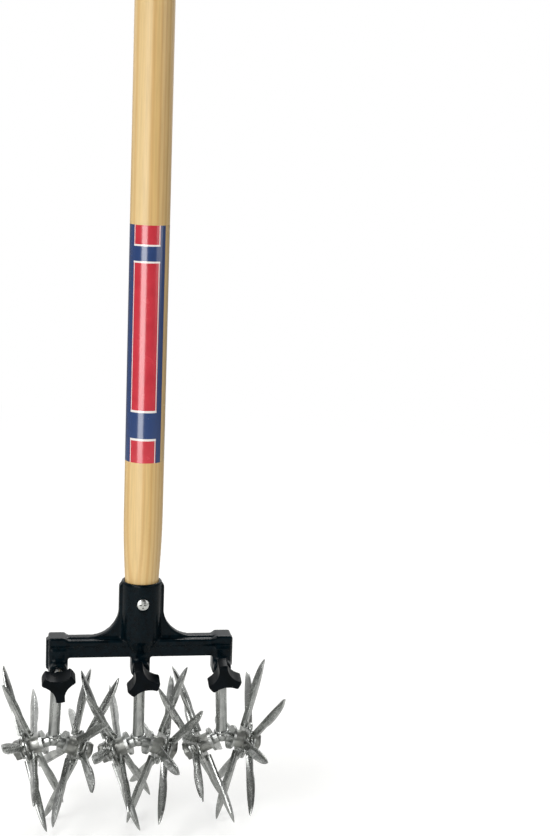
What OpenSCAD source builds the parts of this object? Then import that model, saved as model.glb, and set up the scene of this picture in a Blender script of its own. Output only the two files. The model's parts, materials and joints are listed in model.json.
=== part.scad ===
// Rotary hand cultivator: a long wooden handle in a cast head that clamps three shanks.
// Each shank ends in a bent axle with two star wheels, and the tines of neighbouring
// wheels pass between each other as the wheels roll.
// Millimetres. +Z runs up the handle, -Y is the side with the knobs, Z = 0 is the ground.

/* [Handle] */
// Diameter of the handle
handle_d = 27; // [25:0.5:30]
// Length of the handle
handle_len = 1500; // [900:10:1800]
// Diameter where the handle enters the socket
handle_neck_d = 23.6; // [22:0.2:24]
// Diameter of the handle's lower end, at the floor of the socket
handle_end_d = 21.4; // [18:0.2:22]
// Length of the curved taper above the socket
neck_len = 46; // [20:1:80]
// Radius of the rounded top end
top_r = 18.5; // [16:0.5:40]
// Length of the printed sleeve
label_len = 162; // [80:1:240]
// Height of the sleeve's lower edge above the socket
label_rise = 86; // [80:1:200]
// Thickness of the sleeve
label_t = 0.25; // [0.15:0.05:0.6]

/* [Head] */
// Outer diameter of the socket
socket_d = 28.4; // [27.6:0.2:30]
// Width of the socket over the ribs at its sides
socket_rib_w = 31.6; // [30.8:0.2:36]
// Distance of the ribs' tops below the rim of the socket
rib_drop = 1.4; // [1:0.1:4]
// Run of the slope on top of the ribs
rib_slope = 2.4; // [1:0.1:5]
// Height of the socket above the bridge
socket_h = 42; // [36:1:60]
// Thickness of the floor under the handle
socket_floor = 10.5; // [10:0.5:14]
// Front to back depth of the bridge
bridge_d = 16; // [15:0.5:22]
// Height of the bridge
bridge_h = 12.8; // [11:0.2:18]
// Height of the flange along the top of the bridge
flange_h = 4.2; // [2:0.2:6]
// Overhang of the flange in front and behind
flange_lip = 1; // [0.5:0.1:2]
// Height of the raised pads at the ends of the bridge
pad_h = 2; // [1:0.1:4]
// Run of the slope on the inner side of a pad
pad_slope = 2.4; // [1:0.1:5]
// Thickness of the web between socket and bridge
web_t = 7; // [4:0.5:12]
// Radius of the web's concave sides
web_r = 20; // [12:0.5:24]
// Height of the rib along the top of the bridge
rib_h = 1.4; // [0.6:0.1:1.8]
// Width of a leg
leg_w = 13.5; // [13:0.5:18]
// Length of a leg below the bridge
leg_drop = 14; // [13:0.5:24]
// Radius of a leg's corners
leg_r = 3; // [1:0.2:5]
// Thickness of the cheeks outside the outer legs
cheek_t = 1.6; // [1:0.1:3]
// Height of the cheeks' lower edges above the feet of the legs
cheek_rise = 4; // [2:0.5:8]
// Diameter of the screw that holds the handle
screw_d = 4; // [3:0.2:5]
// Diameter of the screw's head
screw_head_d = 8; // [7:0.2:10]
// Height of the screw's head
screw_head_h = 2.6; // [1.8:0.1:4]
// Length of the screw under its head
screw_len = 20; // [10:0.5:24]
// Depth of the screw below the rim of the socket
screw_drop = 14; // [8:0.5:18]
// Depth of the flat under the screw's head
screw_flat = 0.6; // [0.5:0.1:1.2]

/* [Clamps] */
// Diameter of a clamp stud
stud_d = 6; // [4:0.2:7]
// Angle of the studs below the horizontal
stud_dip = 15; // [0:1:20]
// Height where the stud's axis meets the shank, above the foot of the leg
stud_rise = 8.8; // [7:0.2:11]
// Diameter of the boss round a stud
boss_d = 12.6; // [11:0.2:13.6]
// Length of the boss in front of the leg
boss_len = 3.6; // [2:0.2:7]
// Gap between the boss and the neck of a tightened knob
knob_gap = 0.6; // [0.4:0.1:3]
// Diameter of a knob's neck
knob_neck_d = 9.6; // [8:0.2:11]
// Length of a knob's neck
knob_neck_len = 2.4; // [1:0.2:6]
// Radius over a knob's lobes
knob_r = 12.2; // [11:0.2:15]
// Thickness of a knob
knob_t = 12.5; // [10:0.5:16]
// Radius of the hollows between a knob's lobes
knob_scoop_r = 13.5; // [8:0.5:16]
// Radius of a knob at the middle of a hollow
knob_waist_r = 5.6; // [5.4:0.1:7.5]
// Radius of a knob's edges
knob_edge_r = 1.6; // [0.8:0.1:2.4]
// Depth of the stud in its knob
stud_grip = 8; // [5:0.5:9]
// Distance that the left knob is backed off
left_backoff = 5; // [0:0.5:5]
// Distance that the middle knob is backed off
centre_backoff = 2; // [0:0.5:5]
// Turn of the left knob
left_turn = 6; // [0:1:120]
// Turn of the middle knob
centre_turn = 76; // [0:1:120]
// Turn of the right knob
right_turn = 69; // [0:1:120]

/* [Shanks and axles] */
// Distance from shank to shank at the bends of the axles
shank_pitch = 60; // [59:0.5:64]
// Angle that the outer shanks lean out by
shank_lean = 2.5; // [0:0.5:3]
// Distance that the middle shank reaches lower than the others
centre_drop = 2; // [0:0.5:3]
// Diameter of a shank
shank_d = 8; // [7:0.2:9]
// Length of a shank between its leg and the bend of its axle
shank_free = 48; // [47:0.5:80]
// Depth of a shank in its leg
shank_depth = 16; // [13:0.5:16]
// Diameter of an axle
axle_d = 8; // [6:0.2:8.6]
// Angle of each axle arm below the horizontal line through the bend
axle_bend = 24; // [21:0.5:25]
// Backward slant of the plane that the axle is bent in
axle_sweep = 20; // [0:1:30]
// Diameter of the ball at the bend
bend_d = 9.6; // [9.4:0.2:12]
// Height of the weld that holds the shank on the bend
weld_h = 8; // [6.6:0.2:12]
// Distance from the bend to an axle's collar
collar_at = 6.6; // [6:0.1:7]
// Diameter of an axle's collar
collar_d = 17; // [14:0.5:18]
// Thickness of an axle's collar
collar_t = 2; // [1:0.1:2.4]
// Distance from the bend to the middle plane of a wheel
wheel_reach = 18.2; // [17.6:0.1:18.8]
// Diameter of the washer outside a wheel
washer_d = 15; // [13:0.5:15.5]
// Thickness of the washer outside a wheel
washer_t = 1.2; // [0.8:0.1:2]
// Width of an axle nut across its flats
nut_af = 13; // [12:0.5:14]
// Height of an axle nut
nut_h = 4.4; // [3:0.2:5]
// Length of thread that stands out of a nut
thread_out = 1; // [0.4:0.1:1.4]

/* [Star wheels] */
// Radius to the tips of the tines
wheel_r = 60.5; // [54:0.5:61]
// Thickness of the pressed plate
plate_t = 1.4; // [1:0.1:1.6]
// Space between the two plates of a wheel
plate_gap = 1.2; // [1:0.1:1.6]
// Width of a tine at its widest
tine_w = 7.6; // [5.6:0.1:7.8]
// Width of a tine at its root
tine_root_w = 6.2; // [4:0.1:6.4]
// Distance from the tip to the widest point
tine_taper = 24; // [18:0.5:27]
// Angle of a tine's two flanks from the plane of its plate
tine_fold = 41; // [20:1:45]
// Distance of a tine's keel from the back of its plate
keel_lift = 0.15; // [0.05:0.05:0.4]
// Radius of the disc at the middle of a plate
disc_r = 10; // [9:0.1:11]
// Radius of the lobes between the tines
lobe_r = 4.3; // [3:0.1:5]
// Distance of a lobe's middle from the axle
lobe_at = 9; // [8:0.1:10]
// Outer diameter of a wheel's bush
bush_d = 12.4; // [11.6:0.1:13]
// Length of a wheel's bush outside its middle plane
bush_out = 4.6; // [4.4:0.1:5.4]
// Diameter of the flange between the plates
flange_d = 18; // [16:0.5:19]

/* [Fits] */
// Radial clearance of a wheel on its axle and of a stud in its bore
run_clear = 0.06; // [0.03:0.01:0.1]
// End play of a wheel between collar and washer, at each end
end_play = 0.15; // [0.1:0.05:0.3]
// Radial clearance of pieces that are fixed to each other
seat_clear = 0.02; // [0.01:0.01:0.05]
// Radial clearance of a shank in its leg
shank_clear = 0.15; // [0.05:0.05:0.3]

/* [Hidden] */
$fn = 96;

LEFT = -1;
CENTRE = 0;
RIGHT = 1;
SIDES = [LEFT, CENTRE, RIGHT];
WHEELS = [0:5];

// A wheel has eight tines, four on each of its two plates
tines = 8;
tine_step = 360 / tines;
// Turn of each wheel from the left, towards the front: neighbours stay out of each other's way
wheel_turns = [0.5, -14.3, 6.7, 21, 40.6, 18.1];
// Turn of each axle against its shank, in the plane of the bend
axle_skews = [0, -1.5, -2.5];

function wheel_side(i) = i % 2 == 0 ? LEFT : RIGHT;
function wheel_shank(i) = floor(i / 2) - 1;
function shank_drop(at) = at == CENTRE ? centre_drop : 0;
function axle_roll(at) = axle_skews[at + 1] - at * shank_lean;

// Place of a tine's tip against the bend of its axle, before the axle's roll
function tip_out(turn) =
    wheel_reach * cos(axle_bend) + wheel_r * cos(turn) * sin(axle_bend);
function tip_rise(turn) =
    -wheel_reach * sin(axle_bend) * cos(axle_sweep)
    + wheel_r * (cos(turn) * cos(axle_sweep) * cos(axle_bend) - sin(turn) * sin(axle_sweep));

// Height of a tine's tip above the bends of the outer axles
function tip_z(i, turn) =
    tip_rise(turn) * cos(axle_roll(wheel_shank(i)))
    - wheel_side(i) * tip_out(turn) * sin(axle_roll(wheel_shank(i)))
    - shank_drop(wheel_shank(i));

// The lowest tine stands on the ground
apex_z = -min([for (i = WHEELS) for (k = [0:tines - 1]) tip_z(i, wheel_turns[i] + k * tine_step)]);
leg_z = apex_z + shank_free;
bridge_z = leg_z + leg_drop;
bridge_top = bridge_z + bridge_h;
rim_z = bridge_top + socket_h;
floor_z = bridge_z + socket_floor;
handle_top = floor_z + handle_len;
screw_z = rim_z - screw_drop;
stud_z = leg_z + stud_rise;

// Overlap of pieces that are joined, and reach of a cut past the face that it opens
join = 1;
rim_off = 0.1;
leg_pitch = shank_pitch - (shank_free + stud_rise) * tan(shank_lean);
bridge_w = 2 * leg_pitch + leg_w;
bore_r = handle_neck_d / 2 + seat_clear;
bore_end_r = handle_end_d / 2 + seat_clear;
// The rim is a full round, a little off the bore
rim_r = (socket_d / 2 - bore_r) / 2 - rim_off;
// The screw's head sits in a shallow flat on the socket
screw_seat = socket_d / 2 - screw_flat;

// Stations along a clamp, measured out from the shank's axis
boss_end = bridge_d / 2 / cos(stud_dip) + boss_len;
stud_tip_h = 1;
stud_tip_r = stud_d / 2 - stud_tip_h;
stud_start = (shank_d / 2 + shank_clear + stud_tip_r * sin(stud_dip)) / cos(stud_dip);
knob_start = boss_end + knob_gap;
knob_face = knob_start + knob_neck_len;
stud_end = knob_face + stud_grip;

// Stations along an axle arm, measured out from the bend
bush_start = collar_at + collar_t + end_play;
bush_end = wheel_reach + bush_out;
washer_at = bush_end + end_play;
nut_at = washer_at + washer_t;
axle_end = nut_at + nut_h + thread_out;

tine_start = disc_r - join;
tine_mid = wheel_r - tine_taper;

// Rectangle with round corners, centred across and standing on the X axis
module soft_rect(w, h, r) {
    translate([-w / 2 + r, 0])
        square([w - 2 * r, h]);
    translate([-w / 2, r])
        square([w, h - 2 * r]);
    for (x = [-w / 2 + r, w / 2 - r], y = [r, h - r])
        translate([x, y])
            circle(r);
}

// Places a piece with +Z along an axle arm, from the bend outwards
module along_arm(at, side) {
    translate([at * shank_pitch, 0, apex_z - shank_drop(at)])
        rotate([0, axle_roll(at), 0])
            mirror([side == LEFT ? 1 : 0, 0, 0])
                rotate([axle_sweep, 0, 0])
                    rotate([0, axle_bend + 90, 0])
                        children();
}

// Places a piece with +Z along a shank, from the bend of the axle upwards
module along_shank(side) {
    translate([side * shank_pitch, 0, apex_z - shank_drop(side)])
        rotate([0, -side * shank_lean, 0])
            children();
}

// Places a piece with +Z along a clamp stud, from the shank's axis to the front
module along_stud(side, out) {
    translate([side * leg_pitch, 0, stud_z])
        rotate([90 + stud_dip, 0, 0])
            translate([0, 0, out])
                children();
}

// Handle

module handle() {
    r = handle_d / 2;
    neck_r = handle_neck_d / 2;
    top_z = handle_top - top_r;
    cap_angle = acos(r / top_r);
    neck = [for (t = [0:0.1:1]) [neck_r + (r - neck_r) * sin(90 * t), rim_z + t * neck_len]];
    cap = [for (a = [cap_angle:(90 - cap_angle) / 8:89]) [top_r * cos(a), top_z + top_r * sin(a)]];
    color("burlywood")
        difference() {
            rotate_extrude()
                polygon(concat([[0, floor_z], [handle_end_d / 2, floor_z]], neck, cap, [[0, handle_top]]));
            screw_hole(screw_d / 2 + seat_clear);
            translate([0, 0, rim_z + label_rise])
                ring(handle_d + join, handle_d - 2 * (label_t + seat_clear), label_len);
        }
}

// Printed sleeve, flush in a shallow seat
module label_sleeve() {
    color("firebrick")
        translate([0, 0, rim_z + label_rise])
            ring(handle_d, handle_d - 2 * label_t, label_len);
}

// Bore for the handle's screw, from the front of the socket inwards
module screw_hole(r) {
    translate([0, 0, screw_z])
        rotate([90, 0, 0])
            translate([0, 0, screw_seat - screw_len])
                cylinder(r = r, h = screw_len + join);
}

module handle_screw() {
    dome_r = screw_head_d;
    slot_w = screw_head_d / 7;
    color("lightgray")
        translate([0, 0, screw_z])
            rotate([90, 0, 0])
                difference() {
                    union() {
                        translate([0, 0, screw_seat - screw_len])
                            cylinder(d = screw_d, h = screw_len + join);
                        intersection() {
                            translate([0, 0, screw_seat])
                                cylinder(d = screw_head_d, h = screw_head_h);
                            translate([0, 0, screw_seat + screw_head_h - dome_r])
                                sphere(dome_r);
                        }
                    }
                    for (a = [0, 90])
                        rotate([0, 0, a])
                            translate([-screw_head_d / 3.2, -slot_w / 2, screw_seat + screw_head_h / 2])
                                cube([screw_head_d / 1.6, slot_w, screw_head_h]);
                }
}

// Head

module head_casting() {
    color("#1b1d1f")
        difference() {
            union() {
                socket_tube();
                web();
                bridge();
                for (side = SIDES)
                    leg(side);
                for (side = [LEFT, RIGHT])
                    cheek(side);
            }
            translate([0, 0, floor_z])
                cylinder(r1 = bore_end_r, r2 = bore_r, h = rim_z - floor_z);
            screw_hole(screw_d / 2 + 2 * seat_clear);
            translate([0, 0, screw_z])
                rotate([90, 0, 0])
                    translate([0, 0, screw_seat])
                        cylinder(d = screw_head_d + 1, h = screw_head_h);
            for (side = SIDES) {
                along_shank(side)
                    translate([0, 0, shank_free + shank_drop(side) - join])
                        cylinder(d = shank_d + 2 * shank_clear, h = shank_depth + join);
                along_stud(side, 0)
                    cylinder(d = stud_d + 2 * run_clear, h = boss_end + join);
            }
        }
}

// Upright socket with a full round rim, narrowing to the middle leg at the bridge
module socket_tube() {
    translate([0, 0, bridge_z])
        cylinder(d1 = leg_w, d2 = socket_d, h = bridge_h);
    translate([0, 0, bridge_top])
        cylinder(d = socket_d, h = socket_h - rim_r);
    translate([0, 0, rim_z - rim_r])
        rotate_extrude()
            translate([socket_d / 2 - rim_r, 0])
                circle(rim_r);
}

// Plate that makes the ribs beside the socket and flares into the rib on top of the bridge
module web() {
    half = socket_rib_w / 2;
    span = half + web_r - rim_off;
    top = socket_h - rib_drop;
    translate([0, web_t / 2, bridge_top])
        rotate([90, 0, 0])
            linear_extrude(web_t) {
                difference() {
                    translate([-span, -join])
                        square([2 * span, web_r + rib_h + join]);
                    for (side = [LEFT, RIGHT])
                        translate([side * span, web_r + rib_h])
                            circle(web_r);
                }
                polygon([
                    [-half, 0],
                    [half, 0],
                    [half, top - rib_slope],
                    [half - rib_slope, top],
                    [rib_slope - half, top],
                    [-half, top - rib_slope]
                ]);
            }
}

module bridge() {
    core_d = bridge_d - 2 * flange_lip;
    pad_w = leg_w - pad_slope;
    translate([-bridge_w / 2, 0, bridge_z])
        rotate([90, 0, 90])
            linear_extrude(bridge_w) {
                translate([-core_d / 2, 0])
                    square([core_d, bridge_h]);
                translate([-bridge_d / 2, bridge_h - flange_h])
                    square([bridge_d, flange_h]);
            }
    translate([-bridge_w / 2, -web_t / 2, bridge_top - join])
        cube([bridge_w, web_t, rib_h + join]);
    for (side = [LEFT, RIGHT])
        translate([side * bridge_w / 2, bridge_d / 2, bridge_top])
            rotate([90, 0, 0])
                linear_extrude(bridge_d)
                    polygon([
                        [0, -join],
                        [0, pad_h],
                        [-side * pad_w, pad_h],
                        [-side * (pad_w + pad_slope), 0],
                        [-side * (pad_w + pad_slope), -join]
                    ]);
}

// Leg with its clamp boss
module leg(side) {
    rise = leg_drop + bridge_h / 2;
    intersection() {
        translate([side * leg_pitch, -bridge_d / 2, leg_z])
            linear_extrude(rise)
                soft_rect(leg_w, bridge_d, leg_r);
        translate([side * leg_pitch, bridge_d, leg_z])
            rotate([90, 0, 0])
                linear_extrude(2 * bridge_d)
                    soft_rect(leg_w, rise + leg_r, leg_r);
    }
    along_stud(side, 0)
        cylinder(d = boss_d, h = boss_end);
}

// Plate against the rear half of an outer leg's outer face
module cheek(side) {
    translate([side * (bridge_w + cheek_t - join) / 2, bridge_d / 4, leg_z + cheek_rise])
        linear_extrude(bridge_top - cheek_t - leg_z - cheek_rise)
            square([cheek_t + join, bridge_d / 2], center = true);
}

// Clamps

module stud(side, backoff) {
    color("silver")
        along_stud(side, stud_start + backoff) {
            cylinder(r1 = stud_tip_r, r2 = stud_d / 2, h = stud_tip_h);
            translate([0, 0, stud_tip_h])
                cylinder(d = stud_d, h = stud_end - stud_start - stud_tip_h);
        }
}

// Outline of a knob: a disc with three round hollows
module knob_outline() {
    difference() {
        circle(knob_r);
        for (a = [30:120:270])
            rotate(a)
                translate([-knob_waist_r - knob_scoop_r, 0])
                    circle(knob_scoop_r);
    }
}

module knob(side, backoff, turn) {
    color("#141414")
        along_stud(side, backoff)
            rotate([0, 0, turn])
                difference() {
                    union() {
                        translate([0, 0, knob_start])
                            cylinder(d = knob_neck_d, h = knob_neck_len + join);
                        intersection() {
                            translate([0, 0, knob_face])
                                linear_extrude(knob_t)
                                    knob_outline();
                            translate([0, 0, knob_face])
                                rotate_extrude()
                                    knob_profile();
                        }
                    }
                    translate([0, 0, knob_start - join])
                        cylinder(d = stud_d + 2 * run_clear, h = stud_end - knob_start + join + run_clear);
                }
}

// Half section of a knob, with round edges
module knob_profile() {
    square([knob_r - knob_edge_r, knob_t]);
    translate([0, knob_edge_r])
        square([knob_r, knob_t - 2 * knob_edge_r]);
    for (y = [knob_edge_r, knob_t - knob_edge_r])
        translate([knob_r - knob_edge_r, y])
            circle(knob_edge_r);
}

// Shanks and axles

module shank(side) {
    color("lightsteelblue")
        along_shank(side)
            translate([0, 0, weld_h])
                cylinder(d = shank_d, h = shank_free + shank_drop(side) + shank_depth - weld_h);
}

// Bent axle with a ball at the bend, welded to the shank, and a collar on each arm
module axle(side) {
    color("lightsteelblue") {
        along_shank(side) {
            sphere(d = bend_d);
            cylinder(d1 = bend_d - join, d2 = shank_d, h = weld_h);
        }
        for (arm = [LEFT, RIGHT])
            along_arm(side, arm) {
                cylinder(d = axle_d, h = axle_end);
                translate([0, 0, collar_at])
                    cylinder(d = collar_d, h = collar_t);
            }
    }
}

module axle_washers() {
    color("gray")
        for (i = WHEELS)
            along_arm(wheel_shank(i), wheel_side(i))
                translate([0, 0, washer_at])
                    ring(washer_d, axle_d + 2 * seat_clear, washer_t);
}

module axle_nuts() {
    color("dimgray")
        for (i = WHEELS)
            along_arm(wheel_shank(i), wheel_side(i))
                translate([0, 0, nut_at])
                    difference() {
                        cylinder(d = nut_af / cos(30), h = nut_h, $fn = 6);
                        translate([0, 0, -join])
                            cylinder(d = axle_d + 2 * seat_clear, h = nut_h + 2 * join);
                    }
}

module ring(outer, inner, h) {
    difference() {
        cylinder(d = outer, h = h);
        translate([0, 0, -join])
            cylinder(d = inner, h = h + 2 * join);
    }
}

// Star wheels

// Turning sleeve with a flange that the two plates sit against
module wheel_bush(i) {
    color("darkgray")
        along_arm(wheel_shank(i), wheel_side(i))
            difference() {
                union() {
                    translate([0, 0, bush_start])
                        cylinder(d = bush_d, h = bush_end - bush_start);
                    translate([0, 0, wheel_reach - plate_gap / 2])
                        cylinder(d = flange_d, h = plate_gap);
                }
                cylinder(d = axle_d + 2 * run_clear, h = axle_end);
            }
}

// Leaf shaped outline of a tine that points along +X
module tine_outline() {
    half = tine_w / 2;
    arc_r = (tine_taper * tine_taper + half * half) / (2 * half);
    intersection() {
        translate([tine_mid, half - arc_r])
            circle(arc_r, $fn = 360);
        translate([tine_mid, arc_r - half])
            circle(arc_r, $fn = 360);
    }
    translate([tine_start, -tine_root_w / 2])
        square([tine_mid - tine_start, tine_root_w]);
}

// A tine is folded along its keel, with its flanks rising away from the middle of the wheel
module tine() {
    half = tine_w / 2 + join;
    rise = half * tan(tine_fold);
    wall = plate_t / cos(tine_fold);
    intersection() {
        linear_extrude(rise + wall)
            tine_outline();
        translate([tine_start - join, 0, keel_lift])
            rotate([90, 0, 90])
                linear_extrude(wheel_r)
                    polygon([
                        [0, 0],
                        [half, rise],
                        [half, rise + wall],
                        [0, wall],
                        [-half, rise + wall],
                        [-half, rise]
                    ]);
    }
}

// One pressed plate: a lobed disc with a tine between each pair of lobes
module star_plate() {
    difference() {
        union() {
            linear_extrude(plate_t) {
                circle(disc_r);
                for (k = [0:3])
                    rotate(k * 90 + 45)
                        translate([lobe_at, 0])
                            circle(lobe_r);
            }
            for (k = [0:3])
                rotate([0, 0, k * 90])
                    tine();
        }
        translate([0, 0, -join])
            cylinder(d = bush_d + 2 * seat_clear, h = plate_t + 2 * join);
    }
}

// The plates of a wheel are back to back, half a step apart, and neighbours alternate
module star(i, outer) {
    half_step = (i % 2 == 0) == outer ? tine_step : 0;
    color("silver")
        along_arm(wheel_shank(i), wheel_side(i))
            translate([0, 0, wheel_reach])
                rotate([0, 0, wheel_turns[i] + half_step])
                    mirror([0, 0, outer ? 0 : 1])
                        translate([0, 0, plate_gap / 2])
                            star_plate();
}

handle();
label_sleeve();
head_casting();
handle_screw();
shank(LEFT);  // shank_left
shank(CENTRE);  // shank_centre
shank(RIGHT);  // shank_right
axle(LEFT);  // axle_left
axle(CENTRE);  // axle_centre
axle(RIGHT);  // axle_right
axle_washers();
axle_nuts();
stud(LEFT, left_backoff);  // stud_left
stud(CENTRE, centre_backoff);  // stud_centre
stud(RIGHT, 0);  // stud_right
knob(LEFT, left_backoff, left_turn);  // knob_left
knob(CENTRE, centre_backoff, centre_turn);  // knob_centre
knob(RIGHT, 0, right_turn);  // knob_right
wheel_bush(0);  // wheel_1_bush
wheel_bush(1);  // wheel_2_bush
wheel_bush(2);  // wheel_3_bush
wheel_bush(3);  // wheel_4_bush
wheel_bush(4);  // wheel_5_bush
wheel_bush(5);  // wheel_6_bush
star(0, false);  // wheel_1_inner_star
star(1, false);  // wheel_2_inner_star
star(2, false);  // wheel_3_inner_star
star(3, false);  // wheel_4_inner_star
star(4, false);  // wheel_5_inner_star
star(5, false);  // wheel_6_inner_star
star(0, true);  // wheel_1_outer_star
star(1, true);  // wheel_2_outer_star
star(2, true);  // wheel_3_outer_star
star(3, true);  // wheel_4_outer_star
star(4, true);  // wheel_5_outer_star
star(5, true);  // wheel_6_outer_star
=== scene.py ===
# %% [markdown]
# # Rotary hand cultivator
# This lesson dresses a finished CAD model of a garden tool: a wooden handle in a cast head, three
# clamped shanks and six star wheels. The CAD solids are the fixed frame, so a piece never moves;
# what is added here is softness, thread, weld and surface. The frame is loaded first, and its box is
# kept, so that the floor can be laid just under it.

# %% Load the frame
import json
from math import cos, pi, radians, sin, tan

import bmesh
import bpy
from mathutils import Matrix, Vector


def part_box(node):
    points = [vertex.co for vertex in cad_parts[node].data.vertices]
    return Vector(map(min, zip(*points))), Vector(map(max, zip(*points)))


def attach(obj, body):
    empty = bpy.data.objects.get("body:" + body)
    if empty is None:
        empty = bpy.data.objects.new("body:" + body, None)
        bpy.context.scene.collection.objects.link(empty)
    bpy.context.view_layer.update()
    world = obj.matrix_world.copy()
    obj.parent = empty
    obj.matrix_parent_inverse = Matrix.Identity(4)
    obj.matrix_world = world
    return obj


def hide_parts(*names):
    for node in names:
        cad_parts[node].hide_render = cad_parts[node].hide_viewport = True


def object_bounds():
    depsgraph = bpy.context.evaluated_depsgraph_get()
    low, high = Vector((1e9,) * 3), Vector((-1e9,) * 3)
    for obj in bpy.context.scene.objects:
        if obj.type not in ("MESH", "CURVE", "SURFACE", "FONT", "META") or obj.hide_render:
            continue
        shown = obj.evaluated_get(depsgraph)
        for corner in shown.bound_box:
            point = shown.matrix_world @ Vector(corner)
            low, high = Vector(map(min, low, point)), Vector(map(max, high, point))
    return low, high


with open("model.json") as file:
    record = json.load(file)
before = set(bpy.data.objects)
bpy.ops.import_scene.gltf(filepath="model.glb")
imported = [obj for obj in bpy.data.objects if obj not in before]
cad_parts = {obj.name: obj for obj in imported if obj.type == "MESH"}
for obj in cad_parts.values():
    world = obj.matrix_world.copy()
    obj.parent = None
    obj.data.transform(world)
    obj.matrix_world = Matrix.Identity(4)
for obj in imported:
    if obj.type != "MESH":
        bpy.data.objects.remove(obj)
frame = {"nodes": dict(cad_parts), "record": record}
nodes = frame["nodes"]
cad_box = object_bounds()
MM = 0.001
print("CAD nodes:", len(nodes))

# %% [markdown]
# ## Camera
# The tool is seen a little from above, so the tops of the wheels and the rim of the socket show. Blender
# could aim a camera with a Track To constraint, but here three turns are clearer: about the world's Z to
# look sideways, about the camera's X to look down, and about its own line of sight to level it. The focal
# length is known in pixels of the picture, and is turned to millimetres of the 36 mm sensor.

# %% Camera
PICTURE = (550, 836)
FOCAL_PX = 1648
CAMERA_AT = (-0.0977, -1.111, 0.5136)
LOOK_ASIDE, LOOK_DOWN, LEVEL = -9.60, 10.86, 2.18
camera_data = bpy.data.cameras.new("camera")
camera_data.sensor_width = 36
camera_data.lens = FOCAL_PX / max(PICTURE) * camera_data.sensor_width
camera = bpy.data.objects.new("camera", camera_data)
bpy.context.collection.objects.link(camera)
turn = (
    Matrix.Rotation(radians(LOOK_ASIDE), 4, "Z")
    @ Matrix.Rotation(radians(90 - LOOK_DOWN), 4, "X")
    @ Matrix.Rotation(radians(LEVEL), 4, "Z")
)
camera.matrix_world = Matrix.Translation(CAMERA_AT) @ turn
bpy.context.scene.camera = camera
print("lens", round(camera_data.lens, 1), "mm")

# %% [markdown]
# ## Node helper
# Materials are small trees of nodes. One function adds a node, sets its options, links or sets each socket,
# and sets the stops of a colour ramp, which keeps a recipe short. Colours are written as sRGB hex values, as
# a paint chart gives them, but shaders work in linear light, so another function converts them. Patterns are
# drawn in Object coordinates, because these stay with a piece when it moves.

# %% Node helper and colours
def linear(hex_colour):
    parts = [int(hex_colour[i:i + 2], 16) / 255 for i in (1, 3, 5)]
    return [c / 12.92 if c <= 0.04045 else ((c + 0.055) / 1.055) ** 2.4 for c in parts] + [1.0]


def add_node(tree, kind, options=None, sockets=None, stops=None):
    node = tree.nodes.new(kind)
    for name, value in (options or {}).items():
        setattr(node, name, value)
    for name, value in (sockets or {}).items():
        if isinstance(value, bpy.types.NodeSocket):
            tree.links.new(value, node.inputs[name])
        else:
            node.inputs[name].default_value = value
    if stops:
        for element, (at, colour) in zip(node.color_ramp.elements, stops):
            element.position, element.color = at, linear(colour)
    return node


def new_material(name):
    material = bpy.data.materials.new(name)
    material.use_nodes = True
    tree = material.node_tree
    shader = tree.nodes["Principled BSDF"]
    place = add_node(tree, "ShaderNodeTexCoord").outputs["Object"]
    return material, tree, shader, place


print("white is", linear("#ffffff"))

# %% [markdown]
# ## Lacquered softwood
# The handle is turned from pale softwood with its grain along the length, under clear lacquer. A photo of
# wood could be wrapped round it, but a procedural grain runs through the piece as real rings do: the Wave
# texture draws growth rings round a pith that lies beside the handle, and stretching its space along Z
# makes the rings wander slowly. Fine fibres and broad warm patches break up the evenness. The recipe is a
# function, because the clear part of the film over the wood needs it too. A texture's Scale says how often
# its pattern fits into a metre, so it is worked out from the pattern's size in millimetres. Blender's noise
# stays near 0.5, and LOW and HIGH are the ends between which most of it lies.

# %% Softwood grain
RING_MM, FIBRE_MM, PATCH_MM = 3.4, 1.3, 16
PITH = (0.021, 0.034, 0)
GRAIN_SPACE = (1, 1, 0.035)
LOW, HIGH = 0.3, 0.7
# At a Scale of 1 the Wave texture draws one ring in this many metres
WAVE_UNIT = 2 * pi / 20


def per_mm(size_mm):
    return 1 / (size_mm * MM)


def softwood_grain(tree, place):
    along = add_node(tree, "ShaderNodeMapping", None, {
        "Vector": place, "Location": PITH, "Scale": GRAIN_SPACE})
    rings = add_node(tree, "ShaderNodeTexWave", {"wave_type": "RINGS", "rings_direction": "Z"}, {
        "Vector": along.outputs["Vector"], "Scale": WAVE_UNIT * per_mm(RING_MM), "Distortion": 3.2,
        "Detail": 2.0, "Detail Scale": 0.6})
    fibres = add_node(tree, "ShaderNodeTexNoise", None, {
        "Vector": along.outputs["Vector"], "Scale": per_mm(FIBRE_MM), "Detail": 3.0, "Roughness": 0.6})
    patches = add_node(tree, "ShaderNodeTexNoise", None, {
        "Vector": along.outputs["Vector"], "Scale": per_mm(PATCH_MM), "Detail": 1.0})
    early = add_node(tree, "ShaderNodeValToRGB", None, {"Fac": patches.outputs["Fac"]},
                     ((LOW, "#d3b071"), (HIGH, "#ddc08a")))
    late = add_node(tree, "ShaderNodeValToRGB", None, {"Fac": patches.outputs["Fac"]},
                    ((LOW, "#c49755"), (HIGH, "#cfa76b")))
    ring_line = add_node(tree, "ShaderNodeMapRange", None, {
        "Value": rings.outputs["Fac"], "From Min": 0.4, "From Max": 0.95, "To Min": 0.0, "To Max": 0.6})
    ringed = add_node(tree, "ShaderNodeMix", {"data_type": "RGBA"}, {
        0: ring_line.outputs["Result"], 6: early.outputs["Color"], 7: late.outputs["Color"]})
    fibre_line = add_node(tree, "ShaderNodeMapRange", None, {
        "Value": fibres.outputs["Fac"], "From Min": 0.35, "From Max": 0.6, "To Min": 0.9, "To Max": 1.0})
    grain = add_node(tree, "ShaderNodeMix", {"data_type": "RGBA", "blend_type": "MULTIPLY"}, {
        0: 1.0, 6: ringed.outputs[2], 7: fibre_line.outputs["Result"]})
    return grain.outputs[2], fibres.outputs["Fac"]


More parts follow.
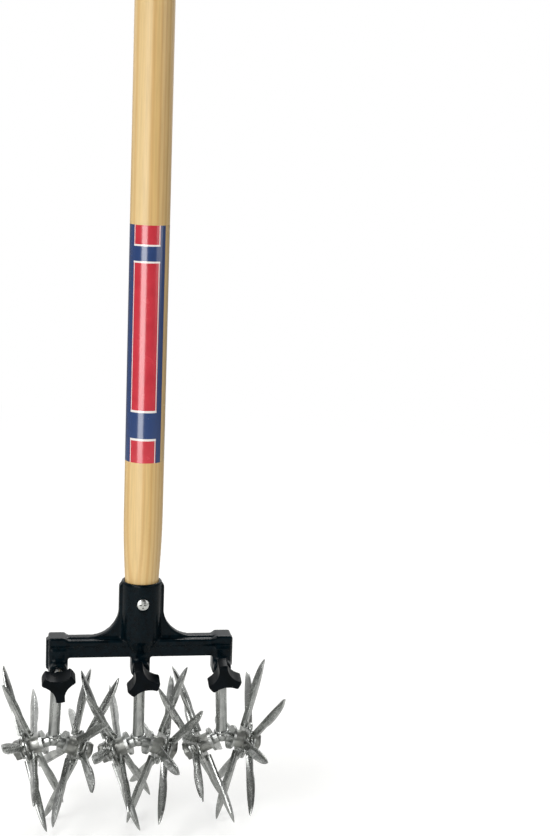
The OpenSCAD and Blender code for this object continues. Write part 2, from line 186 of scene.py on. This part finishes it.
print("rings every", RING_MM, "mm, fibres every", FIBRE_MM, "mm")

# %% Lacquered softwood
wood, tree, shader, place = new_material("lacquered_softwood")
colour, fibre = softwood_grain(tree, place)
tree.links.new(colour, shader.inputs["Base Color"])
ridge = add_node(tree, "ShaderNodeBump", None, {"Height": fibre, "Strength": 0.12, "Distance": 0.15 * MM})
tree.links.new(ridge.outputs["Normal"], shader.inputs["Normal"])
shader.inputs["Roughness"].default_value = 0.42
shader.inputs["Coat Weight"].default_value = 0.25
shader.inputs["Coat Roughness"].default_value = 0.25
print(wood.name, len(tree.nodes), "nodes")

# %% [markdown]
# ## Printed film
# A glossy film is wrapped round the handle: a red field in front, blue flanks, and plain cross bands. The
# print could be a picture, but it is only stripes, so the angle round the handle and the height above the
# ground draw it. Each stripe is a Compare or Greater Than on one of these two numbers. The print doesn't
# reach all the way round: behind it the film is clear and shows the wood's grain.

# %% Printed film: angle and height
# The red field and the whole print are turned to the left by these angles
FIELD_TURN, PRINT_TURN = radians(13), radians(34)
FIELD_HALF, PRINT_HALF = radians(41), radians(81)
PIPING_AT, PIPING_HALF = radians(38.5), radians(1.2)
film, tree, shader, place = new_material("printed_film")
low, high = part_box("label_sleeve")
xyz = add_node(tree, "ShaderNodeSeparateXYZ", None, {0: place})
front = add_node(tree, "ShaderNodeMath", {"operation": "MULTIPLY"}, {0: xyz.outputs["Y"], 1: -1.0})
angle = add_node(tree, "ShaderNodeMath", {"operation": "ARCTAN2"}, {
    0: xyz.outputs["X"], 1: front.outputs[0]})
turned = add_node(tree, "ShaderNodeMath", {"operation": "ADD"}, {0: angle.outputs[0], 1: FIELD_TURN})
aside = add_node(tree, "ShaderNodeMath", {"operation": "ABSOLUTE"}, {0: turned.outputs[0]})
flank = add_node(tree, "ShaderNodeMath", {"operation": "GREATER_THAN"}, {
    0: aside.outputs[0], 1: FIELD_HALF})
piping = add_node(tree, "ShaderNodeMath", {"operation": "COMPARE"}, {
    0: aside.outputs[0], 1: PIPING_AT, 2: PIPING_HALF})
wrap = add_node(tree, "ShaderNodeMath", {"operation": "ADD"}, {0: angle.outputs[0], 1: PRINT_TURN})
round_back = add_node(tree, "ShaderNodeMath", {"operation": "ABSOLUTE"}, {0: wrap.outputs[0]})
clear = add_node(tree, "ShaderNodeMath", {"operation": "GREATER_THAN"}, {
    0: round_back.outputs[0], 1: PRINT_HALF})
print("film", round(high.z - low.z, 3), "m long")

# %% Printed film: bands and colours
# Middle of a cross band, half its blue part, and half of it with its white edges
BANDS = (
    (high.z - 19 * MM, 5.0 * MM, 6.2 * MM),
    (low.z + 26 * MM, 9.0 * MM, 10.5 * MM),
)
SMUDGE_MM = 9
white, blue = piping.outputs[0], flank.outputs[0]
for middle, blue_half, white_half in BANDS:
    edged = add_node(tree, "ShaderNodeMath", {"operation": "COMPARE"}, {
        0: xyz.outputs["Z"], 1: middle, 2: white_half})
    white = add_node(tree, "ShaderNodeMath", {"operation": "MAXIMUM"}, {
        0: edged.outputs[0], 1: white}).outputs[0]
    band = add_node(tree, "ShaderNodeMath", {"operation": "COMPARE"}, {
        0: xyz.outputs["Z"], 1: middle, 2: blue_half})
    blue = add_node(tree, "ShaderNodeMath", {"operation": "MAXIMUM"}, {
        0: band.outputs[0], 1: blue}).outputs[0]
smudge = add_node(tree, "ShaderNodeTexNoise", None, {
    "Vector": place, "Scale": per_mm(SMUDGE_MM), "Detail": 2.0})
red = add_node(tree, "ShaderNodeValToRGB", None, {"Fac": smudge.outputs["Fac"]},
               ((LOW, "#bb2433"), (HIGH, "#c92c3b")))
with_white = add_node(tree, "ShaderNodeMix", {"data_type": "RGBA"}, {
    0: white, 6: red.outputs["Color"], 7: linear("#e9e4df")})
with_blue = add_node(tree, "ShaderNodeMix", {"data_type": "RGBA"}, {
    0: blue, 6: with_white.outputs[2], 7: linear("#1d3a6d")})
with_clear = add_node(tree, "ShaderNodeMix", {"data_type": "RGBA"}, {
    0: clear.outputs[0], 6: with_blue.outputs[2], 7: softwood_grain(tree, place)[0]})
tree.links.new(with_clear.outputs[2], shader.inputs["Base Color"])
sheen = add_node(tree, "ShaderNodeMapRange", None, {
    "Value": smudge.outputs["Fac"], "From Min": LOW, "From Max": HIGH, "To Min": 0.2, "To Max": 0.28})
tree.links.new(sheen.outputs["Result"], shader.inputs["Roughness"])
shader.inputs["Coat Weight"].default_value = 1.0
shader.inputs["Coat Roughness"].default_value = 0.16
shader.inputs["Coat IOR"].default_value = 1.8
print("cross bands:", len(BANDS))

# %% [markdown]
# ## Black enamel on cast iron
# Enamel is sprayed thickly on a sand casting, so the sand's lumps show through as a soft orange peel while
# the skin itself is glossy. That is two noises in one bump: a broad one for the casting and a fine one for
# the paint. The black has a blue-green tint, which is a painted reflection: it stands in for the blue-green
# sheen that the enamel mirrors.

# %% Black enamel
LUMP_MM, PEEL_MM = 3.2, 0.9
enamel, tree, shader, place = new_material("black_enamel_on_casting")
lumps = add_node(tree, "ShaderNodeTexNoise", None, {
    "Vector": place, "Scale": per_mm(LUMP_MM), "Detail": 2.0})
peel = add_node(tree, "ShaderNodeTexNoise", None, {
    "Vector": place, "Scale": per_mm(PEEL_MM), "Detail": 1.0})
# The blue-green tint of this black is a painted reflection of a blue-green sheen
tone = add_node(tree, "ShaderNodeValToRGB", None, {"Fac": lumps.outputs["Fac"]},
                ((LOW, "#02080c"), (HIGH, "#051218")))
tree.links.new(tone.outputs["Color"], shader.inputs["Base Color"])
cast = add_node(tree, "ShaderNodeBump", None, {
    "Height": lumps.outputs["Fac"], "Strength": 0.2, "Distance": 0.2 * MM})
skin = add_node(tree, "ShaderNodeBump", None, {
    "Height": peel.outputs["Fac"], "Strength": 0.1, "Distance": 0.05 * MM,
    "Normal": cast.outputs["Normal"]})
tree.links.new(skin.outputs["Normal"], shader.inputs["Normal"])
gloss = add_node(tree, "ShaderNodeMapRange", None, {
    "Value": peel.outputs["Fac"], "From Min": LOW, "From Max": HIGH, "To Min": 0.17, "To Max": 0.27})
tree.links.new(gloss.outputs["Result"], shader.inputs["Roughness"])
shader.inputs["Specular IOR Level"].default_value = 0.11
print("enamel lumps every", LUMP_MM, "mm")

# %% [markdown]
# ## Zinc on steel
# Rods, tines and washers are steel with a dull bright zinc skin: a metal, so its colour is the colour of
# its mirror image. Zinc grows in cloudy patches with slightly different roughness, and pressing leaves
# the sheet faintly wavy. Both are drawn coarser than they are, so that they show at this distance. One
# function makes the finish in several tones, because the rods, the pressed plates and the bushes differ
# only in brightness and polish.

# %% Zinc on steel
WAVE_MM = 2.5


def zinc(name, dark, light, smooth, rough, cloud_mm):
    material, tree, shader, place = new_material(name)
    cloud = add_node(tree, "ShaderNodeTexNoise", None, {
        "Vector": place, "Scale": per_mm(cloud_mm), "Detail": 1.0})
    waves = add_node(tree, "ShaderNodeTexNoise", None, {
        "Vector": place, "Scale": per_mm(WAVE_MM), "Detail": 1.0})
    tone = add_node(tree, "ShaderNodeValToRGB", None, {"Fac": cloud.outputs["Fac"]},
                    ((LOW, dark), (HIGH, light)))
    tree.links.new(tone.outputs["Color"], shader.inputs["Base Color"])
    polish = add_node(tree, "ShaderNodeMapRange", None, {
        "Value": cloud.outputs["Fac"], "From Min": LOW, "From Max": HIGH, "To Min": rough, "To Max": smooth})
    tree.links.new(polish.outputs["Result"], shader.inputs["Roughness"])
    bump = add_node(tree, "ShaderNodeBump", None, {
        "Height": waves.outputs["Fac"], "Strength": 0.05, "Distance": 0.08 * MM})
    tree.links.new(bump.outputs["Normal"], shader.inputs["Normal"])
    shader.inputs["Metallic"].default_value = 1.0
    return material


rod_zinc = zinc("zinc_plated_rod", "#a4a6a4", "#bcbebb", 0.24, 0.34, 6)
plate_zinc = zinc("zinc_plated_pressing", "#a0a2a0", "#c4c6c3", 0.2, 0.32, 5)
bush_zinc = zinc("dull_zinc_bush", "#a2a39f", "#b5b6b1", 0.42, 0.55, 4)
# The nuts are drawn a darker grey than the rods and plates
nut_steel = zinc("dark_grey_zinc_nut", "#7c7d7a", "#93948f", 0.3, 0.42, 3)
stud_zinc = zinc("bright_zinc_stud", "#cfd1ce", "#dfe0dd", 0.24, 0.32, 3)
print("zinc finishes ready")

# %% [markdown]
# ## Moulded nylon
# The knobs are black nylon with a fine spark-eroded texture from the mould, so they are smoother than the
# paint to the touch but duller to the eye. Grain of half a millimetre is drawn a little coarser here, so
# that it shows at this distance.

# %% Moulded nylon
GRAIN_MM, SHADE_MM = 0.7, 7
nylon, tree, shader, place = new_material("moulded_nylon")
grain = add_node(tree, "ShaderNodeTexNoise", None, {
    "Vector": place, "Scale": per_mm(GRAIN_MM), "Detail": 2.0})
shade = add_node(tree, "ShaderNodeTexNoise", None, {
    "Vector": place, "Scale": per_mm(SHADE_MM), "Detail": 1.0})
# The blue-green tint of this black is a painted reflection of a blue-green sheen
tone = add_node(tree, "ShaderNodeValToRGB", None, {"Fac": shade.outputs["Fac"]},
                ((LOW, "#020608"), (HIGH, "#060c11")))
tree.links.new(tone.outputs["Color"], shader.inputs["Base Color"])
bump = add_node(tree, "ShaderNodeBump", None, {
    "Height": grain.outputs["Fac"], "Strength": 0.25, "Distance": 0.06 * MM})
tree.links.new(bump.outputs["Normal"], shader.inputs["Normal"])
dull = add_node(tree, "ShaderNodeMapRange", None, {
    "Value": shade.outputs["Fac"], "From Min": LOW, "From Max": HIGH, "To Min": 0.3, "To Max": 0.42})
tree.links.new(dull.outputs["Result"], shader.inputs["Roughness"])
shader.inputs["IOR"].default_value = 1.53
shader.inputs["Specular IOR Level"].default_value = 0.07
print("nylon grain", GRAIN_MM, "mm")

# %% [markdown]
# ## Finishes on the CAD pieces
# A CAD node keeps its mesh and only changes its material. The name of a node says what it is made of, so a
# short table from a word in the name to a finish dresses all of them. The first word that fits counts.

# %% Dress the CAD pieces
FINISHES = {
    "head_casting": enamel, "handle_screw": stud_zinc, "handle": wood, "label_sleeve": film,
    "shank": rod_zinc, "axle_nuts": nut_steel, "axle": rod_zinc, "stud": stud_zinc, "knob": nylon,
    "bush": bush_zinc, "star": plate_zinc,
}
for name, node in nodes.items():
    finish = next(material for word, material in FINISHES.items() if word in name)
    node.data.materials.clear()
    node.data.materials.append(finish)
print("dressed", len(nodes), "nodes")

# %% [markdown]
# ## Copies of CAD pieces
# Where a real edge is soft, a new piece stands for the CAD node. Its mesh starts as a copy of the node's
# loose triangles, joined at their corners. A voxel Remesh can then wrap the copy in an even skin, and a few
# passes of smoothing melt its edges. The last helper makes an object of a finished mesh, lets it ride on a
# body and hides the node that it stands for.

# %% Helpers for copies
JOIN = 0.001 * MM


def merged_copy(name):
    bm = bmesh.new()
    bm.from_mesh(nodes[name].data)
    bmesh.ops.remove_doubles(bm, verts=bm.verts, dist=JOIN)
    return bm


def recast(bm, voxel):
    mesh = bpy.data.meshes.new("blank")
    bm.to_mesh(mesh)
    bm.free()
    blank = bpy.data.objects.new("blank", mesh)
    bpy.context.collection.objects.link(blank)
    skin = blank.modifiers.new("skin", "REMESH")
    skin.mode = "VOXEL"
    skin.voxel_size = voxel
    result = bmesh.new()
    result.from_mesh(blank.evaluated_get(bpy.context.evaluated_depsgraph_get()).data)
    bpy.data.objects.remove(blank)
    bpy.data.meshes.remove(mesh)
    return result


def melt(bm, verts, passes):
    for _ in range(passes):
        bmesh.ops.smooth_vert(bm, verts=verts, factor=0.5, use_axis_x=True, use_axis_y=True, use_axis_z=True)


print("the head's CAD mesh has", len(nodes["head_casting"].data.vertices), "corners")


# %% Helper for new pieces
def add_piece(bm, name, material, body, slot, *stands_for):
    mesh = bpy.data.meshes.new(name)
    bm.to_mesh(mesh)
    bm.free()
    mesh.shade_smooth()
    mesh.materials.append(material)
    piece = bpy.data.objects.new(name, mesh)
    bpy.context.collection.objects.link(piece)
    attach(piece, body)
    if stands_for:
        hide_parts(*stands_for)
    print(name, len(mesh.polygons), "faces")
    return piece


# %% [markdown]
# ## Cast head
# A sand casting has no sharp edge: iron can't fill a sharp corner of the mould, and paint rounds it further.
# A Bevel on the CAD mesh would have to follow hundreds of joined faces, so the copy is recast and melted
# instead. The clamp bores were drilled after casting, so the skin in them is not melted but brought back to
# the drill's radius.

# %% Cast head
SIDES = ("left", "centre", "right")
STUD_R = 3.0 * MM
BORE_R = 3.3 * MM
BORE_SKIN_R = 3.6 * MM
HEAD_VOXEL, HEAD_PASSES = 0.7 * MM, 5
joints = {joint["name"]: joint for joint in frame["record"]["behaviour"]["joints"]}
clamp_axis = Vector(joints["knob_left_turn"]["axis"])
clamp_at = {side: Vector(joints[f"knob_{side}_turn"]["pos_m"]) for side in SIDES}


def from_bore(point):
    # A bore runs only forwards from its shank, and a point behind all shanks counts as far away
    arms = [point - at for at in clamp_at.values() if point.y < at.y]
    outs = [arm - clamp_axis * arm.dot(clamp_axis) for arm in arms]
    return min(outs, key=lambda out: out.length, default=Vector((1, 0, 0)))


bm = recast(merged_copy("head_casting"), HEAD_VOXEL)
drilled = [v for v in bm.verts if from_bore(v.co).length < BORE_SKIN_R]
melt(bm, [v for v in bm.verts if from_bore(v.co).length >= BORE_SKIN_R], HEAD_PASSES)
for v in drilled:
    out = from_bore(v.co)
    v.co += out.normalized() * max(0, BORE_R - out.length)
add_piece(bm, "cast_head", enamel, "head", "black_enamel", "head_casting")

# %% [markdown]
# ## Knobs
# The knobs come out of a mould with round edges and lobes that flow into each other. They get the same
# treatment as the casting with a finer skin, since they are smaller and smoother.

# %% Knobs
KNOB_VOXEL, KNOB_PASSES = 0.4 * MM, 4
for side in SIDES:
    bm = recast(merged_copy(f"knob_{side}"), KNOB_VOXEL)
    melt(bm, bm.verts, KNOB_PASSES)
    add_piece(bm, f"moulded_knob_{side}", nylon, f"clamp_knob_{side}", "knob_plastic", f"knob_{side}")

# %% [markdown]
# ## Studs
# The CAD studs are plain cylinders. On the real ones a rolled thread shows where a knob is backed off.
# One tooth's profile is spun round the axis while it climbs by the pitch in each turn, so that the turns
# meet. The two ends are cut flat and closed, and turned to a cone, so that the thread starts easily.

# %% Thread
PITCH = 1.0 * MM
ROOT_R = 2.6 * MM
TIP_R = 2.0 * MM
TURN_STEPS = 32
SPARE_TURNS = 3
TOOTH = ((ROOT_R, 0), (STUD_R, 0.4 * PITCH), (STUD_R, 0.6 * PITCH), (ROOT_R, PITCH))
upright = Vector((0, 0, 1))


def thread(length):
    turns = round(length / PITCH) + SPARE_TURNS
    bm = bmesh.new()
    tooth = [bm.verts.new((r, 0, z)) for r, z in TOOTH]
    profile = [bm.edges.new(pair) for pair in zip(tooth, tooth[1:])]
    bmesh.ops.spin(bm, geom=tooth + profile, cent=(0, 0, 0), axis=upright, dvec=(0, 0, PITCH / TURN_STEPS),
                   angle=2 * pi * turns, steps=TURN_STEPS * turns)
    bmesh.ops.remove_doubles(bm, verts=bm.verts, dist=0.01 * MM)
    for at, way in ((PITCH, -1), (PITCH + length, 1)):
        bmesh.ops.bisect_plane(bm, geom=bm.verts[:] + bm.edges[:] + bm.faces[:], plane_co=(0, 0, at),
                               plane_no=(0, 0, way), clear_outer=True)
        bmesh.ops.holes_fill(bm, edges=[e for e in bm.edges if e.is_boundary], sides=0)
    bmesh.ops.recalc_face_normals(bm, faces=bm.faces)
    bmesh.ops.translate(bm, verts=bm.verts, vec=(0, 0, -PITCH - length / 2))
    for v in bm.verts:
        cone_r = TIP_R + length / 2 - abs(v.co.z)
        v.co.xy *= min(1, cone_r / max(v.co.xy.length, ROOT_R / 2))
    return bm


print("thread pitch", PITCH / MM, "mm")

# %% Threaded studs
for side in SIDES:
    near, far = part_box(f"stud_{side}")
    length = (far.y - near.y - 2 * STUD_R * abs(clamp_axis.z)) / abs(clamp_axis.y)
    bm = thread(length)
    bmesh.ops.rotate(bm, verts=bm.verts, matrix=upright.rotation_difference(clamp_axis).to_matrix())
    bmesh.ops.translate(bm, verts=bm.verts, vec=(near + far) / 2)
    add_piece(bm, f"threaded_stud_{side}", stud_zinc, f"clamp_stud_{side}", "zinc_steel", f"stud_{side}")

# %% [markdown]
# ## Weld beads
# Each shank is welded to the bend of its axle, and a weld is a row of small frozen ripples. A ring is spun
# round the shank's axis, which runs from the bend to the clamp, and its skin is pushed out and in around
# the ring to make the ripples.

# %% Weld beads
BEAD_R = 1.25 * MM
BEAD_RING_R = 4.3 * MM
BEAD_UP = 2.9 * MM
BEAD_SIDES, BEAD_STEPS = 12, 102
RIPPLES, RIPPLE = 17, 0.07
# The spin of wheels 1, 3 and 5 is given from the bend of the axle that carries them
for side, wheel in zip(SIDES, (1, 3, 5)):
    foot = Vector(joints[f"wheel_{wheel}_spin"]["pos_m"])
    up = (clamp_at[side] - foot).normalized()
    bm = bmesh.new()
    bmesh.ops.create_circle(bm, segments=BEAD_SIDES, radius=BEAD_R)
    bmesh.ops.rotate(bm, verts=bm.verts, matrix=Matrix.Rotation(pi / 2, 3, "X"))
    bmesh.ops.translate(bm, verts=bm.verts, vec=(BEAD_RING_R, 0, 0))
    bmesh.ops.spin(bm, geom=bm.verts[:] + bm.edges[:], cent=(0, 0, 0), axis=upright, angle=2 * pi,
                   steps=BEAD_STEPS, use_merge=True)
    for v in bm.verts:
        core = Vector((v.co.x, v.co.y, 0)).normalized() * BEAD_RING_R
        swell = sin(RIPPLES * v.co.xy.angle_signed(Vector((1, 0))))
        v.co = core + (v.co - core) * (1 + RIPPLE * swell)
    bmesh.ops.recalc_face_normals(bm, faces=bm.faces)
    bmesh.ops.rotate(bm, verts=bm.verts, matrix=upright.rotation_difference(up).to_matrix())
    bmesh.ops.translate(bm, verts=bm.verts, vec=foot + up * BEAD_UP)
    add_piece(bm, f"weld_bead_{side}", rod_zinc, "head", "zinc_steel")

# %% [markdown]
# ## Nuts
# A nut's corners are chamfered. Here the CAD mesh suits a Bevel modifier: its triangles are joined to whole
# faces first, so that only real edges are left, and Harden Normals keeps the faces between the bevels flat.
# The star plates get the same with a narrower bevel.

# %% Bevelled copies
SAME_FACE, REAL_EDGE = radians(3), radians(25)
NUT_EDGE = 0.6 * MM


def whole_faces(name):
    bm = merged_copy(name)
    bmesh.ops.dissolve_limit(bm, angle_limit=SAME_FACE, verts=bm.verts, edges=bm.edges)
    return bm


def bevel_edges(piece, width):
    edge = piece.modifiers.new("edge", "BEVEL")
    edge.width = width
    edge.segments = 2
    edge.limit_method = "ANGLE"
    edge.angle_limit = REAL_EDGE
    edge.use_clamp_overlap = False
    edge.harden_normals = True


nuts = add_piece(whole_faces("axle_nuts"), "chamfered_nuts", nut_steel, "head", "dark_steel", "axle_nuts")
bevel_edges(nuts, NUT_EDGE)

# %% [markdown]
# ## Pressed stars
# Pressed plate has edges that the die rounded, and they draw the bright outlines of the tines. The die also
# dishes each tine a little: the keel curves, so that the point comes to the middle of the fold, and the
# metal is thinned and spread to a fuller point. A straight CAD tine has no edges along its length to bend,
# so planes across it cut it to short steps first. Each vertex then moves along the wheel's axis by an amount
# that grows with the square of its distance past the tine's widest place. Thinning and spreading grow with
# the fourth power, so that only the point gets them.

# %% Find and cut the tines
DISH_FROM = 34 * MM
DISH_STEPS = 12
NEAR_TIP = 0.3 * MM
SAME_TINE = 0.9


def tine_ways(bm, off_axis, reach):
    ways = []
    for v in bm.verts:
        out = off_axis(v.co)
        if out.length > reach - NEAR_TIP and all(out.normalized().dot(way) < SAME_TINE for way in ways):
            ways.append(out.normalized())
    return ways


def cut_tines(bm, foot, ways, reach):
    for way in ways:
        for step in range(DISH_STEPS):
            cut = DISH_FROM + (reach - DISH_FROM) * step / DISH_STEPS
            bmesh.ops.bisect_plane(bm, geom=bm.verts[:] + bm.edges[:] + bm.faces[:],
                                   plane_co=foot + way * cut, plane_no=way)


print("tines are cut to", DISH_STEPS, "steps")

# %% Dish the tines
DISH = 1.5 * MM
FOLD = radians(41)
PLATE = 1.4 * MM
WALL = PLATE / cos(FOLD)
POINT_THIN, POINT_FULLER = 0.6, 1.5


def dish_tines(bm, foot, axis, side):
    def off_axis(point):
        arm = point - foot
        return arm - axis * arm.dot(axis)

    def height(v):
        return (v.co - foot).dot(axis) * side

    reach = max(off_axis(v.co).length for v in bm.verts)
    ways = tine_ways(bm, off_axis, reach)
    cut_tines(bm, foot, ways, reach)
    for way in ways:
        tine = [v for v in bm.verts if off_axis(v.co).dot(way) > DISH_FROM]
        across = axis.cross(way)
        keel = min(height(v) for v in tine)
        for v in tine:
            out = off_axis(v.co)
            past = (out.dot(way) - DISH_FROM) / (reach - DISH_FROM)
            skin = keel + abs(out.dot(across)) * tan(FOLD) + WALL / 2
            thin = (skin - height(v)) * POINT_THIN * past ** 4
            v.co += axis * side * (thin + DISH * past ** 2)
            v.co += across * out.dot(across) * POINT_FULLER * past ** 4


print("plate", PLATE / MM, "mm thick, points dished by", DISH / MM, "mm")

# %% Pressed stars
STAR_EDGE = 0.3 * MM


def axial_middle(name, axis):
    mesh = nodes[name].data
    return sum(v.co.dot(axis) for v in mesh.vertices) / len(mesh.vertices)


for wheel in range(1, 7):
    spin = joints[f"wheel_{wheel}_spin"]
    foot, axis = Vector(spin["pos_m"]), Vector(spin["axis"])
    stars = {plate: f"wheel_{wheel}_{plate}_star" for plate in ("inner", "outer")}
    outwards = 1 if axial_middle(stars["outer"], axis) > axial_middle(stars["inner"], axis) else -1
    for plate, side in (("inner", -outwards), ("outer", outwards)):
        bm = whole_faces(stars[plate])
        dish_tines(bm, foot, axis, side)
        star = add_piece(bm, f"pressed_star_{wheel}_{plate}", plate_zinc, f"wheel_{wheel}",
                         "pressed_steel", stars[plate])
        bevel_edges(star, STAR_EDGE)

# %% [markdown]
# ## Floor
# The tool stands on a plain pale floor. Far from the tool the floor fades into the white ground of the
# picture: its own light, which only rays from the camera and reflections see, takes over from the light
# that falls on it. Near the tool it is a lit surface, so that it keeps a soft shadow.

# %% Floor
FLOOR_SIZE = 14
FLOOR_BELOW = 0.2 * MM
bm = bmesh.new()
bmesh.ops.create_grid(bm, x_segments=2, y_segments=2, size=FLOOR_SIZE)
floor_mesh = bpy.data.meshes.new("floor")
bm.to_mesh(floor_mesh)
bm.free()
floor = bpy.data.objects.new("floor", floor_mesh)
floor.location.z = cad_box[0][2] - FLOOR_BELOW
bpy.context.collection.objects.link(floor)
print("floor at", round(floor.location.z, 4))

# %% Floor paper
FADE_FROM, FADE_TO = 0.3, 1.6
OWN_NEAR, OWN_FAR = 0.42, 1.0
OWN_IN_MIRRORS = 0.15
paper, tree, shader, place = new_material("pale_paper")
away = add_node(tree, "ShaderNodeVectorMath", {"operation": "LENGTH"}, {0: place})
fade = add_node(tree, "ShaderNodeMapRange", {"interpolation_type": "SMOOTHSTEP"}, {
    "Value": away.outputs["Value"], "From Min": FADE_FROM, "From Max": FADE_TO})
tone = add_node(tree, "ShaderNodeValToRGB", None, {"Fac": fade.outputs["Result"]},
                ((0.0, "#d0d0ce"), (1.0, "#000000")))
tree.links.new(tone.outputs["Color"], shader.inputs["Base Color"])
shader.inputs["Roughness"].default_value = 1.0
shader.inputs["Specular IOR Level"].default_value = 0.0
shader.inputs["Emission Color"].default_value = linear("#ffffff")
own = add_node(tree, "ShaderNodeMapRange", None, {
    "Value": fade.outputs["Result"], "To Min": OWN_NEAR, "To Max": OWN_FAR})
path = add_node(tree, "ShaderNodeLightPath")
seen = add_node(tree, "ShaderNodeMath", {"operation": "MULTIPLY_ADD"}, {
    0: path.outputs["Is Glossy Ray"], 1: OWN_IN_MIRRORS, 2: path.outputs["Is Camera Ray"]})
glow = add_node(tree, "ShaderNodeMath", {"operation": "MULTIPLY"}, {
    0: seen.outputs[0], 1: own.outputs["Result"]})
tree.links.new(glow.outputs[0], shader.inputs["Emission Strength"])
floor_mesh.materials.append(paper)
print("floor fades from", FADE_FROM, "to", FADE_TO, "m")

# %% [markdown]
# ## Sky
# The even sky fills the shadows. Rays from the camera see it white, which is the picture's ground, without
# more light on the tool. Reflections see a room: white behind the tool and dark behind the camera, because
# metal only looks like metal when it mirrors both.

# %% Sky
SKY_LIGHT = 0.5
ROOM_FROM, ROOM_TO = -0.3, 0.9
ROOM_DARK, ROOM_WHITE = 0.03, 1.0
world = bpy.data.worlds.new("studio")
bpy.context.scene.world = world
world.use_nodes = True
tree = world.node_tree
sky = tree.nodes["Background"]
path = add_node(tree, "ShaderNodeLightPath")
seen = add_node(tree, "ShaderNodeMath", {"operation": "MAXIMUM"}, {
    0: path.outputs["Is Camera Ray"], 1: path.outputs["Is Glossy Ray"]})
seen = add_node(tree, "ShaderNodeMath", {"operation": "MAXIMUM"}, {
    0: seen.outputs[0], 1: path.outputs["Is Transmission Ray"]})
looking = add_node(tree, "ShaderNodeTexCoord").outputs["Generated"]
looking = add_node(tree, "ShaderNodeSeparateXYZ", None, {0: looking})
room = add_node(tree, "ShaderNodeMapRange", {"interpolation_type": "SMOOTHSTEP"}, {
    "Value": looking.outputs["Y"], "From Min": ROOM_FROM, "From Max": ROOM_TO,
    "To Min": ROOM_DARK, "To Max": ROOM_WHITE})
wall = add_node(tree, "ShaderNodeMath", {"operation": "MAXIMUM"}, {
    0: room.outputs["Result"], 1: path.outputs["Is Camera Ray"]})
level = add_node(tree, "ShaderNodeMix", {"data_type": "FLOAT"}, {
    0: seen.outputs[0], 2: SKY_LIGHT, 3: wall.outputs[0]})
sky.inputs["Color"].default_value = linear("#ffffff")
tree.links.new(level.outputs[0], sky.inputs["Strength"])
print("sky light", SKY_LIGHT)

# %% [markdown]
# ## Lamps
# Four area lamps make a plain soft studio light: one large lamp high on the left, a weaker one on the right,
# one from behind for the edges, and a strip close to the handle, which the glossy film mirrors as a bright
# streak. The Standard view transform shows colours as they are written.

# %% Lamps
# Place, aim, width and height, watts
LAMPS = {
    "key": ((-1.6, -1.3, 1.9), (0, 0, 0.25), (1.2, 1.2), 34),
    "fill": ((1.8, -1.2, 0.9), (0, 0, 0.2), (1.6, 1.6), 10),
    "rim": ((0.6, 1.6, 1.8), (0, 0, 0.2), (1.0, 0.6), 20),
    "strip": ((-0.56, -0.86, 0.36), (0, 0, 0.33), (0.58, 0.7), 4.4),
}
for name, (at, aim, size, watts) in LAMPS.items():
    lamp_data = bpy.data.lights.new(name, "AREA")
    lamp_data.shape = "RECTANGLE"
    lamp_data.size, lamp_data.size_y = size
    lamp_data.energy = watts
    lamp = bpy.data.objects.new(name, lamp_data)
    lamp.location = at
    lamp.rotation_euler = (Vector(aim) - Vector(at)).to_track_quat("-Z", "Y").to_euler()
    bpy.context.collection.objects.link(lamp)
bpy.context.scene.view_settings.view_transform = "Standard"
print("lamps:", list(LAMPS))
